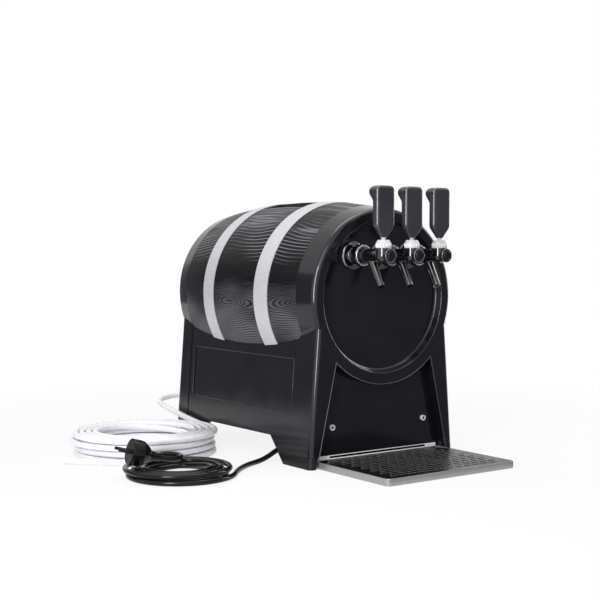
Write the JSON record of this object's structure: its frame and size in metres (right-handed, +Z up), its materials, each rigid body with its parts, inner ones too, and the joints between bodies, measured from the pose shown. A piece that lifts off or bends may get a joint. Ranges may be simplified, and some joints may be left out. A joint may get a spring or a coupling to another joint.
{
  "type": "wine tap cooler",
  "caption": "Counter-top drink cooler shaped like a wooden cask on a black stand, with upright tap levers, a pull-out drip tray, a drink hose and a mains cord.",
  "frame": {"origin": "On the table, in the middle of the cooler's own box in plan, hose and cord left out.", "axes": "+Z up, the taps face -Y, +X to the right of someone facing the taps' rear"},
  "size_m": [0.5654, 0.6414, 0.4205],
  "materials": {
    "housing": "moulded black, half gloss",
    "barrel_grain": "dark grey with a moulded wood grain",
    "hoop_silver": "flat silver paint",
    "foot_rubber": "black rubber",
    "handle_black": "black plastic",
    "bright_screw": "bright screws and pins",
    "tap_black": "gloss black tap",
    "knob_black": "gloss black knob",
    "bonnet_white": "pale collar",
    "lever_black": "dark grey handle",
    "steel": "brushed steel",
    "grid_black": "black grid",
    "foam": "foam and pale inner plastic",
    "aluminium": "bare aluminium",
    "machine_paint": "black paint",
    "trim_black": "black trim",
    "rocker_red": "red rocker",
    "fitting_grey": "grey push-in fitting",
    "cord_black": "black cord",
    "hose_white": "milky hose"
  },
  "bodies": {
    "cooler": {"front_panel": "housing", "splash_panel": "housing", "rear_panel": "housing", "barrel_cover": "barrel_grain", "front_hoop": "hoop_silver", "rear_hoop": "hoop_silver", "left_side_panel": "housing", "right_side_panel": "housing", "base_plate": "steel", "feet": "foot_rubber", "handle_well": "handle_black", "carry_handle": "handle_black", "handle_screws": "bright_screw", "panel_screws": "bright_screw", "tap_shank_1": "tap_black", "tap_shank_2": "tap_black", "tap_shank_3": "tap_black", "coupling_nuts": "tap_black", "shank_nuts": "steel", "tap_body_1": "tap_black", "tap_body_2": "tap_black", "tap_body_3": "tap_black", "tap_bonnet_1": "bonnet_white", "tap_bonnet_2": "bonnet_white", "tap_bonnet_3": "bonnet_white", "lever_pins": "bright_screw", "insulation_box": "foam", "cooling_block": "aluminium", "product_lines": "steel", "compressor": "machine_paint", "compressor_mounts": "foot_rubber", "condenser": "aluminium", "fan_motor": "machine_paint", "fan_guard": "trim_black", "thermostat": "foam", "switch_frame": "trim_black", "inlet_1": "fitting_grey", "inlet_2": "fitting_grey", "inlet_3": "fitting_grey", "terminal_box": "trim_black", "cable_gland": "cord_black", "cord_lead": "cord_black", "cord_coil": "cord_black", "cord_tail": "cord_black", "plug": "cord_black", "hose_coil": "hose_white", "hose_lead": "hose_white"},
    "lever_1": {"tap_lever_1": "lever_black"},
    "lever_2": {"tap_lever_2": "lever_black"},
    "lever_3": {"tap_lever_3": "lever_black"},
    "knob_1": {"flow_knob_1": "knob_black"},
    "knob_2": {"flow_knob_2": "knob_black"},
    "knob_3": {"flow_knob_3": "knob_black"},
    "tray": {"drip_tray": "steel"},
    "grid": {"drip_grid": "grid_black"},
    "fan": {"fan_rotor": "trim_black"},
    "dial": {"thermostat_knob": "trim_black"},
    "rocker": {"switch_rocker": "rocker_red"}
  },
  "joints": [
    {"name": "lever_1_pour", "type": "hinge", "parent": "cooler", "child": "lever_1", "pos_m": [-0.055, -0.196, 0.335], "axis": [1, 0, 0], "range_deg": [-8, 25]},
    {"name": "knob_1_turn", "type": "hinge", "parent": "cooler", "child": "knob_1", "pos_m": [-0.055, -0.2089, 0.318], "axis": [0, 1, 0], "range_deg": [-90, 90]},
    {"name": "lever_2_pour", "type": "hinge", "parent": "cooler", "child": "lever_2", "pos_m": [0, -0.196, 0.335], "axis": [1, 0, 0], "range_deg": [-8, 25]},
    {"name": "knob_2_turn", "type": "hinge", "parent": "cooler", "child": "knob_2", "pos_m": [0, -0.2089, 0.318], "axis": [0, 1, 0], "range_deg": [-90, 90]},
    {"name": "lever_3_pour", "type": "hinge", "parent": "cooler", "child": "lever_3", "pos_m": [0.055, -0.196, 0.335], "axis": [1, 0, 0], "range_deg": [-8, 25]},
    {"name": "knob_3_turn", "type": "hinge", "parent": "cooler", "child": "knob_3", "pos_m": [0.055, -0.2089, 0.318], "axis": [0, 1, 0], "range_deg": [-90, 90]},
    {"name": "tray_slide", "type": "slide", "parent": "cooler", "child": "tray", "axis": [0, -1, 0], "range_m": [0, 0.18]},
    {"name": "grid_lift", "type": "slide", "parent": "tray", "child": "grid", "axis": [0, 0, 1], "range_m": [0, 0.06]},
    {"name": "fan_spin", "type": "hinge", "parent": "cooler", "child": "fan", "pos_m": [0, 0.244, 0.255], "axis": [0, 1, 0], "continuous": true},
    {"name": "dial_turn", "type": "hinge", "parent": "cooler", "child": "dial", "pos_m": [-0.045, 0.2663, 0.35], "axis": [0, 1, 0], "range_deg": [0, 270]},
    {"name": "rocker_tip", "type": "hinge", "parent": "cooler", "child": "rocker", "pos_m": [0.045, 0.258, 0.35], "axis": [1, 0, 0], "range_deg": [0, 16]}
  ]
}
